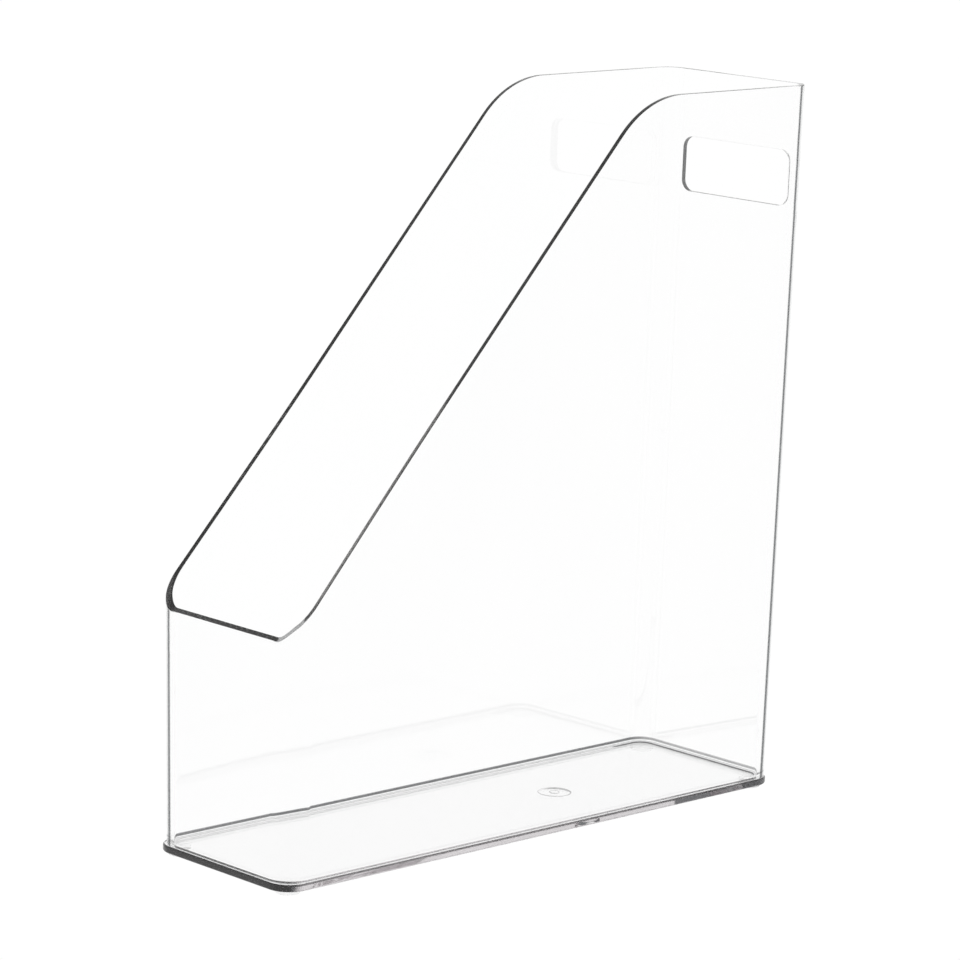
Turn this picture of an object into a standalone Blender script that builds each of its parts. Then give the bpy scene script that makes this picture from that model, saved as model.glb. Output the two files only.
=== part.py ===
"""Clear plastic magazine rack: a one-piece wall sleeve bonded onto a base plate that stands on four bumpers.

Metres, +Z up. X runs across the rack, -Y is the low front and +Y the tall back. The origin is on the
surface that the rack stands on, below the middle of its bounding box.
"""

import math

import bmesh
import bpy
import numpy as np

# Base plate
BASE_LENGTH = 0.276
BASE_WIDTH = 0.082
BASE_THICKNESS = 0.003
BASE_CORNER_RADIUS = 0.010
BASE_EDGE_RADIUS = 0.0008
LEDGE = 0.0008

# Locating rib on the base plate, just inside the walls
RIB_WIDTH = 0.002
RIB_HEIGHT = 0.0005

# Gate recess under the base plate, with the stub that the moulding's gate leaves in it
GATE_RADIUS = 0.007
GATE_DEPTH = 0.0009
GATE_STUB_RADIUS = 0.002
GATE_STUB_HEIGHT = 0.0005
GATE_FROM_BACK = 0.0932

# Wall sleeve
OVERALL_HEIGHT = 0.3025
FRONT_HEIGHT = 0.1013
WALL_THICKNESS = 0.0022
FRONT_CORNER_RADIUS = 0.0109
BACK_CORNER_RADIUS = 0.0090
INNER_CORNER_STEP = 0.0010
SIDE_DRAFT = math.radians(0.30)
FRONT_DRAFT = math.radians(0.30)
BACK_DRAFT = math.radians(0.95)
FRONT_FLARE = 0.0019
FLARE_LENGTH = 0.078
SLOPE_ANGLE = math.radians(47.5)
SHOULDER_RADIUS = 0.045
TOE_RISE = 0.0020
TOE_REACH = 0.0034
RIM_EDGE_RADIUS = 0.0005
FRONT_RIM_TILT = 0.6

# Finger hole through the back wall
HOLE_WIDTH = 0.0613
HOLE_HEIGHT = 0.0235
HOLE_CORNER_RADIUS = 0.005
HOLE_BELOW_RIM = 0.0287

# Bumpers, and where their middles sit in from the base plate's edges
FOOT_RADIUS = 0.005
FOOT_THICKNESS = 0.0017
FOOT_EDGE_RADIUS = 0.0006
FOOT_INSET = 0.008

# Bond and adhesive lines: the gap kept between pieces that touch
BOND_GAP = 0.0003

# Facets
CORNER_STEPS = 8
SLOPE_STEPS = 8
SHOULDER_STEPS = 8
LEVEL_STEPS = 3
WALL_ROWS = 8
EDGE_STEPS = 3
ROUND_STEPS = 32

# Passes that bring each point of the rim onto the side profile, and the angle past which an edge looks sharp
RIM_PASSES = 12
SHARP_ANGLE = math.radians(35)

# Heights that follow from the sizes above
BASE_BOTTOM = FOOT_THICKNESS + BOND_GAP
BASE_TOP = BASE_BOTTOM + BASE_THICKNESS
WALL_BOTTOM = BASE_TOP + BOND_GAP

# Plan positions that follow from them; the leaning back wall reaches past the base plate
WALL_HALF_WIDTH = BASE_WIDTH / 2 - LEDGE
WALL_HALF_LENGTH = BASE_LENGTH / 2 - LEDGE
WALL_RISE = OVERALL_HEIGHT - WALL_BOTTOM
BACK_REACH = max(WALL_HALF_LENGTH + WALL_RISE * math.tan(BACK_DRAFT), BASE_LENGTH / 2)
BASE_CENTRE_Y = (BASE_LENGTH / 2 - BACK_REACH) / 2

# Side profile: the slope's line meets the front wall TOE_RISE above its rim, and the shoulder's arc ends it
SLOPE = math.tan(SLOPE_ANGLE)
PROFILE_FRONT = BASE_CENTRE_Y - WALL_HALF_LENGTH - (FRONT_HEIGHT - WALL_BOTTOM) * math.tan(FRONT_DRAFT)
PROFILE_BROW = PROFILE_FRONT + (OVERALL_HEIGHT - FRONT_HEIGHT - TOE_RISE) / SLOPE
SHOULDER_END = PROFILE_BROW + SHOULDER_RADIUS * math.tan(SLOPE_ANGLE / 2)
SHOULDER_START = SHOULDER_END - SHOULDER_RADIUS * math.sin(SLOPE_ANGLE)

# Finishes: polished clear plastic, and the softer, hazier plastic of the bumpers
CLEAR = (0.93, 0.95, 0.96, 1.0)
CLEAR_ROUGHNESS = 0.03
SOFT = (0.88, 0.89, 0.89, 1.0)
SOFT_ROUGHNESS = 0.25
PLASTIC_IOR = 1.57


def clear_scene():
    """Remove every object, so that the file can be run again."""
    for obj in list(bpy.data.objects):
        bpy.data.objects.remove(obj, do_unlink=True)


def plastic(name, colour, roughness):
    """Principled material of a clear plastic."""
    material = bpy.data.materials.new(name)
    material.use_nodes = True
    shader = material.node_tree.nodes["Principled BSDF"]
    shader.inputs["Base Color"].default_value = colour
    shader.inputs["Roughness"].default_value = roughness
    shader.inputs["Metallic"].default_value = 0.0
    shader.inputs["IOR"].default_value = PLASTIC_IOR
    shader.inputs["Transmission Weight"].default_value = 1.0
    return material


def arc(centre, radius, start, stop, steps):
    """Points of an arc in plan, both ends included."""
    turn = np.linspace(start, stop, steps + 1)
    return np.stack([centre[0] + radius * np.cos(turn), centre[1] + radius * np.sin(turn)], axis=1)


def rounded_outline(half_width, front, back, front_radius, back_radius, side_shares=()):
    """Anticlockwise plan outline of a rectangle with round corners, from the right side's back corner.

    side_shares places extra points along both straight sides, as shares of their length from the front.
    """
    front_x, back_x = half_width - front_radius, half_width - back_radius
    low, high = front + front_radius, back - back_radius
    quarter = math.pi / 2
    corners = [
        arc((back_x, high), back_radius, 0.0, quarter, CORNER_STEPS),
        arc((-back_x, high), back_radius, quarter, 2 * quarter, CORNER_STEPS),
        arc((-front_x, low), front_radius, 2 * quarter, 3 * quarter, CORNER_STEPS),
        arc((front_x, low), front_radius, 3 * quarter, 4 * quarter, CORNER_STEPS),
    ]
    side_y = low + np.asarray(side_shares, dtype=float) * (high - low)
    left_side = np.column_stack([np.full(len(side_y), -half_width), side_y[::-1]])
    right_side = np.column_stack([np.full(len(side_y), half_width), side_y])
    return np.concatenate([corners[0], corners[1], left_side, corners[2], corners[3], right_side])


def circle_outline(radius):
    """Anticlockwise plan outline of a circle."""
    return arc((0.0, 0.0), radius, 0.0, 2 * math.pi, ROUND_STEPS)[:-1]


def at_height(outline, height):
    """The ring that a plan outline makes at one height."""
    return np.column_stack([outline, np.full(len(outline), height)])


def skin(name, rings, material, closed=False):
    """Object whose surface joins rings of points: on to the first again, or with a flat cap at each end."""
    mesh = bpy.data.meshes.new(name)
    shape = bmesh.new()
    loops = [[shape.verts.new(point) for point in ring] for ring in rings]
    pairs = list(zip(loops, loops[1:]))
    if closed:
        pairs.append((loops[-1], loops[0]))
    for lower, upper in pairs:
        for index in range(len(lower)):
            after = (index + 1) % len(lower)
            shape.faces.new((lower[index], lower[after], upper[after], upper[index]))
    if not closed:
        shape.faces.new(list(reversed(loops[0])))
        shape.faces.new(loops[-1])
    bmesh.ops.recalc_face_normals(shape, faces=shape.faces)
    shape.to_mesh(mesh)
    shape.free()
    mesh.materials.append(material)
    mesh.shade_smooth()
    mesh.set_sharp_from_angle(angle=SHARP_ANGLE)
    obj = bpy.data.objects.new(name, mesh)
    bpy.context.collection.objects.link(obj)
    return obj


def cut(obj, cutter):
    """Take the cutter's shape out of an object with a Boolean that stays live."""
    cutter.hide_render = True
    cutter.display_type = "WIRE"
    boolean = obj.modifiers.new(f"cut_{cutter.name}", "BOOLEAN")
    boolean.operation = "DIFFERENCE"
    boolean.solver = "EXACT"
    boolean.object = cutter


def eased_edge(corner, along_first, along_second, reach):
    """Rounded edge from corner + along_first to corner + along_second, as quadratic Bezier rings."""
    rings = []
    for share in np.linspace(0.0, 1.0, EDGE_STEPS + 1):
        first, second = (1 - share) ** 2, share**2
        rings.append(corner + reach * (first * along_first + second * along_second))
    return rings


def quarter_round(inset, height, radius, rising):
    """(inset, height) pairs of a plate's edge: outwards and up from below, or up and inwards to the top."""
    turns = np.linspace(0.0, math.pi / 2, EDGE_STEPS + 1)
    if rising:
        return [(inset + radius * (1 - math.sin(t)), height + radius * (1 - math.cos(t))) for t in turns]
    return [(inset + radius * (1 - math.cos(t)), height - radius * (1 - math.sin(t))) for t in turns]


def rim_height(y):
    """Height of the side profile: up the slope from the front wall, round the shoulder, then level."""
    line = FRONT_HEIGHT + TOE_RISE + (y - PROFILE_FRONT) * SLOPE
    along = np.clip(SHOULDER_END - y, 0.0, SHOULDER_RADIUS)
    shoulder = OVERALL_HEIGHT - SHOULDER_RADIUS + np.sqrt(SHOULDER_RADIUS**2 - along**2)
    return np.where(y < SHOULDER_START, line, shoulder)


def station_shares():
    """Shares along a side wall's straight length at which its face has a line of points."""
    low = BASE_CENTRE_Y - WALL_HALF_LENGTH + FRONT_CORNER_RADIUS
    high = BASE_CENTRE_Y + WALL_HALF_LENGTH + WALL_RISE * math.tan(BACK_DRAFT) - BACK_CORNER_RADIUS
    turns = np.linspace(SLOPE_ANGLE, 0.0, SHOULDER_STEPS + 1)
    places = np.concatenate([
        np.linspace(low, SHOULDER_START, SLOPE_STEPS + 1)[1:-1],
        SHOULDER_END - SHOULDER_RADIUS * np.sin(turns),
        np.linspace(SHOULDER_END, high, LEVEL_STEPS + 1)[1:-1],
    ])
    shares = np.sort((places - low) / (high - low))
    return shares[(shares > 0.0) & (shares < 1.0)]


def wall_outline(inset, height):
    """Plan outline of the walls at a height, drafted outwards on every side, stepped in by inset."""
    rise = height - WALL_BOTTOM
    tighter = INNER_CORNER_STEP * inset / WALL_THICKNESS
    return rounded_outline(
        WALL_HALF_WIDTH - inset + rise * math.tan(SIDE_DRAFT),
        BASE_CENTRE_Y - WALL_HALF_LENGTH + inset - rise * math.tan(FRONT_DRAFT),
        BASE_CENTRE_Y + WALL_HALF_LENGTH - inset + rise * math.tan(BACK_DRAFT),
        FRONT_CORNER_RADIUS - tighter,
        BACK_CORNER_RADIUS - tighter,
        station_shares(),
    )


def on_wall(inset, heights):
    """Points up the wall face, one for each station of the outline, at the given heights."""
    foot = at_height(wall_outline(inset, WALL_BOTTOM), WALL_BOTTOM)
    head = at_height(wall_outline(inset, OVERALL_HEIGHT), OVERALL_HEIGHT)
    share = (heights - WALL_BOTTOM) / WALL_RISE
    return foot + share[:, None] * (head - foot)


def toe_drop():
    """How far each station's rim lies under the side profile: TOE_RISE at the front, none past it."""
    behind = wall_outline(0.0, WALL_BOTTOM)[:, 1] - (BASE_CENTRE_Y - WALL_HALF_LENGTH)
    share = np.sqrt(np.clip(behind / TOE_REACH, 0.0, 1.0))
    return TOE_RISE * (1 - share**2 * (3 - 2 * share))


def rim_line(inset):
    """The wall face's top edge: each station raised until it meets the side profile, less its drop."""
    drop = toe_drop()
    heights = FRONT_HEIGHT - drop
    for _ in range(RIM_PASSES):
        heights = rim_height(on_wall(inset, heights)[:, 1]) - drop
    return on_wall(inset, heights)


def inner_rim_line(outer):
    """The inner face's top edge: on the side profile, but tilted less where it crosses the front wall."""
    heights = rim_line(WALL_THICKNESS)[:, 2]
    return on_wall(WALL_THICKNESS, outer[:, 2] + FRONT_RIM_TILT * (heights - outer[:, 2]))


def flared(ring):
    """The ring with its side walls leaning out further towards the front, from nothing at the foot."""
    reach = (BASE_CENTRE_Y - WALL_HALF_LENGTH + FLARE_LENGTH - ring[:, 1]) / FLARE_LENGTH
    rise = (ring[:, 2] - WALL_BOTTOM) / (FRONT_HEIGHT - WALL_BOTTOM)
    push = FRONT_FLARE * np.clip(reach, 0.0, 1.0) ** 2 * rise
    side = np.clip(ring[:, 0] / (WALL_HALF_WIDTH - FRONT_CORNER_RADIUS), -1.0, 1.0)
    return ring + np.column_stack([side * push, np.zeros((len(ring), 2))])


def down_the_wall(rim):
    """Unit vectors square to the rim line and down the wall face."""
    along = np.roll(rim, -1, axis=0) - np.roll(rim, 1, axis=0)
    outward = np.column_stack([along[:, 1], -along[:, 0], np.zeros(len(along))])
    down = np.cross(along, outward)
    down *= -np.sign(down[:, 2:3])
    return down / np.linalg.norm(down, axis=1, keepdims=True)


def wall_rows(inset, top):
    """Rings from the wall's foot to just under its eased top edge."""
    foot = at_height(wall_outline(inset, WALL_BOTTOM), WALL_BOTTOM)
    return [foot + share * (top - foot) for share in np.linspace(0.0, 1.0, WALL_ROWS + 1)[:-1]]


def build_wall_shell(material):
    """Front, sides and back in one sleeve, cut to the sloping side profile, with the finger hole."""
    outer = rim_line(0.0)
    inner = inner_rim_line(outer)
    down = down_the_wall(outer)
    across = (inner - outer) / np.linalg.norm(inner - outer, axis=1, keepdims=True)
    outer_edge = eased_edge(outer, down, across, RIM_EDGE_RADIUS)
    inner_edge = eased_edge(inner, -across, down, RIM_EDGE_RADIUS)
    rings = wall_rows(0.0, outer_edge[0]) + outer_edge + inner_edge
    rings += list(reversed(wall_rows(WALL_THICKNESS, inner_edge[-1])))
    shell = skin("wall_shell", [flared(ring) for ring in rings], material, closed=True)

    half_height, radius = HOLE_HEIGHT / 2, HOLE_CORNER_RADIUS
    outline = rounded_outline(HOLE_WIDTH / 2, -half_height, half_height, radius, radius)
    reach = BACK_CORNER_RADIUS + WALL_THICKNESS
    centre_z = OVERALL_HEIGHT - HOLE_BELOW_RIM - HOLE_HEIGHT / 2
    wall_y = BASE_CENTRE_Y + WALL_HALF_LENGTH + (centre_z - WALL_BOTTOM) * math.tan(BACK_DRAFT)
    cutter = skin("finger_hole_cutter", [at_height(outline, -reach), at_height(outline, reach)], material)
    cutter.rotation_euler = (math.pi / 2, 0.0, 0.0)
    cutter.location = (0.0, wall_y, centre_z)
    cut(shell, cutter)
    return shell, cutter


def plate_outline(inset):
    """Plan outline of the base plate, stepped in by inset."""
    half_length = BASE_LENGTH / 2 - inset
    radius = BASE_CORNER_RADIUS - inset
    return rounded_outline(
        BASE_WIDTH / 2 - inset,
        BASE_CENTRE_Y - half_length,
        BASE_CENTRE_Y + half_length,
        radius,
        radius,
    )


def rib_outline(inset):
    """Plan outline inside the walls' inner faces, stepped in by inset."""
    depth = WALL_THICKNESS + inset
    tighter = INNER_CORNER_STEP + inset
    return rounded_outline(
        WALL_HALF_WIDTH - depth,
        BASE_CENTRE_Y - WALL_HALF_LENGTH + depth,
        BASE_CENTRE_Y + WALL_HALF_LENGTH - depth,
        FRONT_CORNER_RADIUS - tighter,
        BACK_CORNER_RADIUS - tighter,
    )


def build_base_plate(material):
    """Plate with eased edges, a low rib that locates the walls, and the gate recess underneath."""
    edge = quarter_round(0.0, BASE_BOTTOM, BASE_EDGE_RADIUS, rising=True)
    edge += quarter_round(0.0, BASE_TOP, BASE_EDGE_RADIUS, rising=False)
    rings = [at_height(plate_outline(inset), height) for inset, height in edge]
    rib_top = BASE_TOP + RIB_HEIGHT
    rings += [
        at_height(rib_outline(BOND_GAP), BASE_TOP),
        at_height(rib_outline(BOND_GAP), rib_top),
        at_height(rib_outline(BOND_GAP + RIB_WIDTH), rib_top),
        at_height(rib_outline(BOND_GAP + RIB_WIDTH), BASE_TOP),
    ]
    plate = skin("base_plate", rings, material)

    cutter = gate_cutter(material)
    cutter.location = (0.0, BASE_CENTRE_Y + BASE_LENGTH / 2 - GATE_FROM_BACK, 0.0)
    cut(plate, cutter)
    return plate, cutter


def gate_cutter(material):
    """Disc that cuts the gate recess, dished in the middle so that the stub stays."""
    gate = circle_outline(GATE_RADIUS)
    stub = circle_outline(GATE_STUB_RADIUS)
    roof = BASE_BOTTOM + GATE_DEPTH
    rings = [
        at_height(gate, BASE_BOTTOM - GATE_DEPTH),
        at_height(gate, roof),
        at_height(stub, roof),
        at_height(stub, roof - GATE_STUB_HEIGHT),
    ]
    return skin("gate_cutter", rings, material)


def build_feet(material):
    """Four round bumpers under the base plate's corners, which share one mesh."""
    edge = quarter_round(0.0, 0.0, FOOT_EDGE_RADIUS, rising=True)
    rings = [at_height(circle_outline(FOOT_RADIUS - inset), height) for inset, height in edge]
    rings.append(at_height(circle_outline(FOOT_RADIUS), FOOT_THICKNESS))
    places = {
        "foot_front_left": (-1, -1),
        "foot_front_right": (1, -1),
        "foot_back_left": (-1, 1),
        "foot_back_right": (1, 1),
    }
    feet = []
    for name, (side, end) in places.items():
        foot = bpy.data.objects.new(name, feet[0].data) if feet else skin(name, rings, material)
        if feet:
            bpy.context.collection.objects.link(foot)
        foot.location.x = side * (BASE_WIDTH / 2 - FOOT_INSET)
        foot.location.y = BASE_CENTRE_Y + end * (BASE_LENGTH / 2 - FOOT_INSET)
        feet.append(foot)
    return feet


def main():
    """Build the rack under one empty."""
    clear_scene()
    clear = plastic("clear_plastic", CLEAR, CLEAR_ROUGHNESS)
    soft = plastic("clear_bumper", SOFT, SOFT_ROUGHNESS)
    root = bpy.data.objects.new("magazine_rack", None)
    bpy.context.collection.objects.link(root)
    pieces = [*build_wall_shell(clear), *build_base_plate(clear), *build_feet(soft)]
    for piece in pieces:
        piece.parent = root


main()
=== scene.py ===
"""Looks of a clear plastic magazine rack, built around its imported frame.

Metres, +Z up. X runs across the rack, -Y is the low front and +Y the tall back. Overall sizes come from the
frame's boxes. Radii, drafts and edge sizes are fields of the class that each piece belongs to.
"""

import logging
import math
from dataclasses import dataclass, field
from enum import Enum

import bmesh
import bpy
import numpy as np
from mathutils import Matrix, Vector


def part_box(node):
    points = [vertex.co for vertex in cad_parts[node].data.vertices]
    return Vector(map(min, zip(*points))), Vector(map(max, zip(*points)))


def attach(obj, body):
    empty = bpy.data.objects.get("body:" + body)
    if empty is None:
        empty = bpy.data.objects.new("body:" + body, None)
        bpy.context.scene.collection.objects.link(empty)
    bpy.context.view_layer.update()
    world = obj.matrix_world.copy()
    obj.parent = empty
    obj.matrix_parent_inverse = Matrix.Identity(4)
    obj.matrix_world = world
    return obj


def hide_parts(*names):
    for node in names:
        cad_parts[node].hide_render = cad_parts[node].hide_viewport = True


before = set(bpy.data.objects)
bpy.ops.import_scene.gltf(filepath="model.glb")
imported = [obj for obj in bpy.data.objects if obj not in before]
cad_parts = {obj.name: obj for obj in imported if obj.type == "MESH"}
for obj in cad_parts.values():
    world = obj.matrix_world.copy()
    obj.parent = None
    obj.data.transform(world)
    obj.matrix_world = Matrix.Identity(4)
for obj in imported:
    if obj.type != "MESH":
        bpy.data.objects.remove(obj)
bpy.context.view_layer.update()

log = logging.getLogger("magazine_rack")
QUARTER = math.pi / 2


class Slot(Enum):
    """The record's material slots."""

    PLASTIC = "clear_plastic"
    BUMPER = "clear_bumper"


class Number:
    """A shader's number that Python's operators work on; each operator adds one Math node.

    Args:
        bench: The node tree's bench, which makes the nodes.
        socket: The output socket that holds the number.
    """

    def __init__(self, bench: "Bench", socket: bpy.types.NodeSocket) -> None:
        """Keeps the bench and the socket."""
        self.bench = bench
        self.socket = socket

    def _math(self, operation: str, *values: "Number | float") -> "Number":
        """A Math node on these values, in order."""
        made = self.bench.add("ShaderNodeMath", {"operation": operation}, dict(enumerate(values)))
        return Number(self.bench, made.outputs[0])

    def __add__(self, other: "Number | float") -> "Number":
        """The sum."""
        return self._math("ADD", self, other)

    def __radd__(self, other: float) -> "Number":
        """The sum, with the number on the left."""
        return self._math("ADD", other, self)

    def __sub__(self, other: "Number | float") -> "Number":
        """The difference."""
        return self._math("SUBTRACT", self, other)

    def __rsub__(self, other: float) -> "Number":
        """The difference, with the number on the left."""
        return self._math("SUBTRACT", other, self)

    def __mul__(self, other: "Number | float") -> "Number":
        """The product."""
        return self._math("MULTIPLY", self, other)

    def __rmul__(self, other: float) -> "Number":
        """The product, with the number on the left."""
        return self._math("MULTIPLY", other, self)

    def __neg__(self) -> "Number":
        """The number with its sign turned."""
        return self._math("MULTIPLY", self, -1.0)

    def ramp(self, start: float, stop: float) -> "Number":
        """A smooth step: 0 up to start, 1 from stop on.

        Args:
            start: The value up to which it is 0.
            stop: The value from which it is 1.

        Returns:
            The step.
        """
        settings = {"interpolation_type": "SMOOTHSTEP"}
        sockets = {"Value": self, "From Min": start, "From Max": stop}
        made = self.bench.add("ShaderNodeMapRange", settings, sockets)
        return Number(self.bench, made.outputs["Result"])


class Bench:
    """Where a material's or a world's nodes are made.

    Args:
        tree: The node tree, which is emptied first.
    """

    def __init__(self, tree: bpy.types.NodeTree) -> None:
        """Keeps the tree and empties it."""
        self.tree = tree
        tree.nodes.clear()

    def add(self, kind: str, settings: dict | None = None, sockets: dict | None = None) -> bpy.types.Node:
        """Makes a node.

        Args:
            kind: The node's type.
            settings: Its properties by name, set before its sockets.
            sockets: Values or links by input name or index. A Number or an output socket is linked.

        Returns:
            The node.
        """
        node = self.tree.nodes.new(kind)
        for name, value in (settings or {}).items():
            setattr(node, name, value)
        for name, value in (sockets or {}).items():
            source = value.socket if isinstance(value, Number) else value
            if isinstance(source, bpy.types.NodeSocket):
                self.tree.links.new(source, node.inputs[name])
            else:
                node.inputs[name].default_value = source
        return node

    def part(self, vector: bpy.types.NodeSocket, axis: str) -> Number:
        """The X, Y or Z part of a vector."""
        return Number(self, self.add("ShaderNodeSeparateXYZ", {}, {0: vector}).outputs[axis])

    def object_place(self, scale: tuple[float, float, float] = (1.0, 1.0, 1.0)) -> bpy.types.NodeSocket:
        """The piece's own coordinates in metres, stretched by scale.

        Args:
            scale: The stretch along each axis.

        Returns:
            The coordinates.
        """
        place = self.add("ShaderNodeTexCoord").outputs["Object"]
        mapping = self.add("ShaderNodeMapping", {}, {"Vector": place, "Scale": scale})
        return mapping.outputs["Vector"]

    def noise(self, place: bpy.types.NodeSocket, scale: float, detail: float = 2.0) -> Number:
        """Smooth noise from 0 to 1 at a place, with scale in repeats a metre.

        Args:
            place: Where it is read.
            scale: Repeats a metre.
            detail: Finer layers on top.

        Returns:
            The noise.
        """
        sockets = {"Vector": place, "Scale": scale, "Detail": detail}
        made = self.add("ShaderNodeTexNoise", {"noise_dimensions": "3D"}, sockets)
        return Number(self, made.outputs[0])

    def bump(self, height: Number, depth: float, strength: float) -> bpy.types.NodeSocket:
        """The normal that a bump of this depth in metres gives, as height goes from 0 to 1."""
        sockets = {"Strength": strength, "Distance": depth, "Height": height}
        return self.add("ShaderNodeBump", {}, sockets).outputs["Normal"]

    def clear(
        self,
        colour: bpy.types.NodeSocket,
        roughness: Number,
        ior: float,
        normal: bpy.types.NodeSocket,
    ) -> bpy.types.NodeSocket:
        """The surface of a plastic that lets all light through.

        Args:
            colour: The tint that its skin gives the light.
            roughness: Its roughness.
            ior: Its refractive index.
            normal: Its normal.

        Returns:
            The surface.
        """
        sockets = {"Base Color": colour, "Roughness": roughness, "IOR": ior, "Normal": normal}
        sockets["Transmission Weight"] = 1.0
        return self.add("ShaderNodeBsdfPrincipled", {"distribution": "GGX"}, sockets).outputs["BSDF"]

    def blend(self, share: Number, low: tuple, high: tuple) -> bpy.types.NodeSocket:
        """A colour that goes from low to high as share goes from 0 to 1."""
        made = self.add("ShaderNodeMix", {"data_type": "RGBA"}, {"Factor": share, 6: low, 7: high})
        return made.outputs[2]


def blank(name: str) -> tuple[bpy.types.Material, Bench]:
    """A new material without nodes, and the bench for them.

    Args:
        name: The material's name.

    Returns:
        The material and its bench.
    """
    made = bpy.data.materials.new(name)
    made.use_nodes = True
    return made, Bench(made.node_tree)


@dataclass(frozen=True)
class ShadePlaces:
    """Where on the rack the painted shade on its edges lies, in metres.

    Attributes:
        seam_foot: Height of the bond line's foot.
        seam_top: Height of its top.
        seam_blur: How softly its foot and top fade, to each side.
        lip_top: Height of the plate's top.
        back_start: Y where the plate's back end starts.
        bend_side: Distances from the middle plane between which the rim's bend comes in.
        bend_back: Y between which it goes out again, round the front corners.
        bend_foot: Heights between which an edge starts to count as the rim.
        hole_side: Distances from the middle plane between which the finger hole's ends go out.
        hole_front: Y between which a face starts to count as the back wall's.
        level_foot: Heights between which an edge starts to count as the level rim.
    """

    seam_foot: float = 0.0059
    seam_top: float = 0.0068
    seam_blur: float = 0.0001
    lip_top: float = 0.005
    back_start: float = 0.1145
    bend_side: tuple[float, float] = (0.0283, 0.0316)
    bend_back: tuple[float, float] = (-0.129, -0.125)
    bend_foot: tuple[float, float] = (0.05, 0.06)
    hole_side: tuple[float, float] = (0.0313, 0.0319)
    hole_front: tuple[float, float] = (0.12, 0.125)
    level_foot: tuple[float, float] = (0.29, 0.295)


@dataclass(frozen=True)
class Skin:
    """Masks from 0 to 1 for where shade is painted on the rack's skin, from a point's place and the way that
    it faces.

    Attributes:
        bench: Where the material's nodes are made.
        x: The point's place across the rack.
        y: Its place along the rack.
        z: Its height.
        out_x: Its normal's part across the rack.
        out_y: Its normal's part along the rack.
        up: Its normal's part upwards.
        places: Where the masks lie.
    """

    bench: Bench
    x: Number
    y: Number
    z: Number
    out_x: Number
    out_y: Number
    up: Number
    places: ShadePlaces = ShadePlaces()

    @classmethod
    def on(cls, bench: Bench) -> "Skin":
        """The skin that a bench's material is on.

        Args:
            bench: The material's bench.

        Returns:
            The skin.
        """
        place = bench.add("ShaderNodeTexCoord").outputs["Object"]
        normal = bench.add("ShaderNodeNewGeometry").outputs["Normal"]
        return cls(bench, *(bench.part(vector, axis) for vector in (place, normal) for axis in "XYZ"))

    def inside(self) -> Number:
        """Faces that look back at the rack's upright axis: -x * out_x - y * out_y is above 0 there.

        A face that is met from its back has its normal turned round, so a near wall's inner face is left out.
        """
        return (-self.x * self.out_x - self.y * self.out_y).ramp(0.0, 0.01)

    def off_middle(self, distances: tuple[float, float]) -> Number:
        """Places further from the middle plane than these distances, which x squared is held against."""
        near, far = distances
        return (self.x * self.x).ramp(near**2, far**2)

    def turning(self) -> Number:
        """How far an upright face turns sideways from the viewer: 0 square on, close to 1 at its outline.

        It is 1 less Layer Weight's facing, for the level direction along the face in place of its normal.

        Returns:
            The mask.
        """
        along = self.bench.add("ShaderNodeCombineXYZ", {}, {"X": -self.out_y, "Y": self.out_x})
        sockets = {"Blend": 0.5, "Normal": along.outputs["Vector"]}
        facing = self.bench.add("ShaderNodeLayerWeight", {}, sockets).outputs["Facing"]
        return 1.0 - Number(self.bench, facing)

    def corners(self) -> Number:
        """Painted shade on the round corners' outer faces as they turn away, fading to a fifth on their very
        outline.

        A face is upright where its normal's upward part is small, and on a corner where both its level parts
        are well above 0.

        Returns:
            The mask.
        """
        turning = self.turning()
        band = turning.ramp(0.74, 0.825) * (1.0 - turning.ramp(0.878, 0.948) * 0.8)
        upright = 1.0 - (self.up * self.up).ramp(0.1, 0.4)
        diagonal = (self.out_x * self.out_x * self.out_y * self.out_y).ramp(0.004, 0.03)
        return band * upright * diagonal * (1.0 - self.inside())

    def bond(self) -> Number:
        """The bond line round the walls' inner faces, its dark painted as shade, a quarter weaker on the
        front and the back.

        Returns:
            The mask.
        """
        places = self.places
        blur = places.seam_blur
        over_foot = self.z.ramp(places.seam_foot - blur, places.seam_foot + blur)
        under_top = 1.0 - self.z.ramp(places.seam_top - blur, places.seam_top + blur)
        return over_foot * under_top * self.inside() * (self.out_x * self.out_x * 0.25 + 0.75)

    def lip(self) -> Number:
        """Painted shade on the rounding of the plate's top edge: tilted up, but not level.

        Returns:
            The mask.
        """
        tilted = self.up.ramp(0.05, 0.3) * (1.0 - self.up.ramp(0.9, 0.98))
        top = self.places.lip_top
        return tilted * (1.0 - self.z.ramp(top, top + self.places.seam_blur))

    def front_end_shade(self) -> Number:
        """Faces that look to the front, where the plate's front end gets painted shade."""
        return (-self.out_y).ramp(0.1, 0.5)

    def back_end_shade(self) -> Number:
        """Faces that look to either side, beside the back end, where the plate gets painted shade."""
        start = self.places.back_start
        return self.y.ramp(start, start + 0.002) * (self.out_x * self.out_x).ramp(0.1, 0.5)

    def bend(self) -> Number:
        """Painted shade on the rim's top where it turns round the front corners.

        Returns:
            The mask.
        """
        ahead = 1.0 - self.y.ramp(*self.places.bend_back)
        over = self.up.ramp(0.2, 0.5) * self.z.ramp(*self.places.bend_foot)
        return self.off_middle(self.places.bend_side) * ahead * over

    def hole_end_shade(self) -> Number:
        """Painted shade on the finger hole's upright ends.

        Returns:
            The mask.
        """
        sideways = (self.out_x * self.out_x).ramp(0.05, 0.3)
        within = 1.0 - self.off_middle(self.places.hole_side)
        return sideways * within * self.y.ramp(*self.places.hole_front)

    def level_rim_shade(self) -> Number:
        """Painted shade on the level top of the high rim."""
        return self.up.ramp(0.85, 0.95) * self.z.ramp(*self.places.level_foot)


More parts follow.
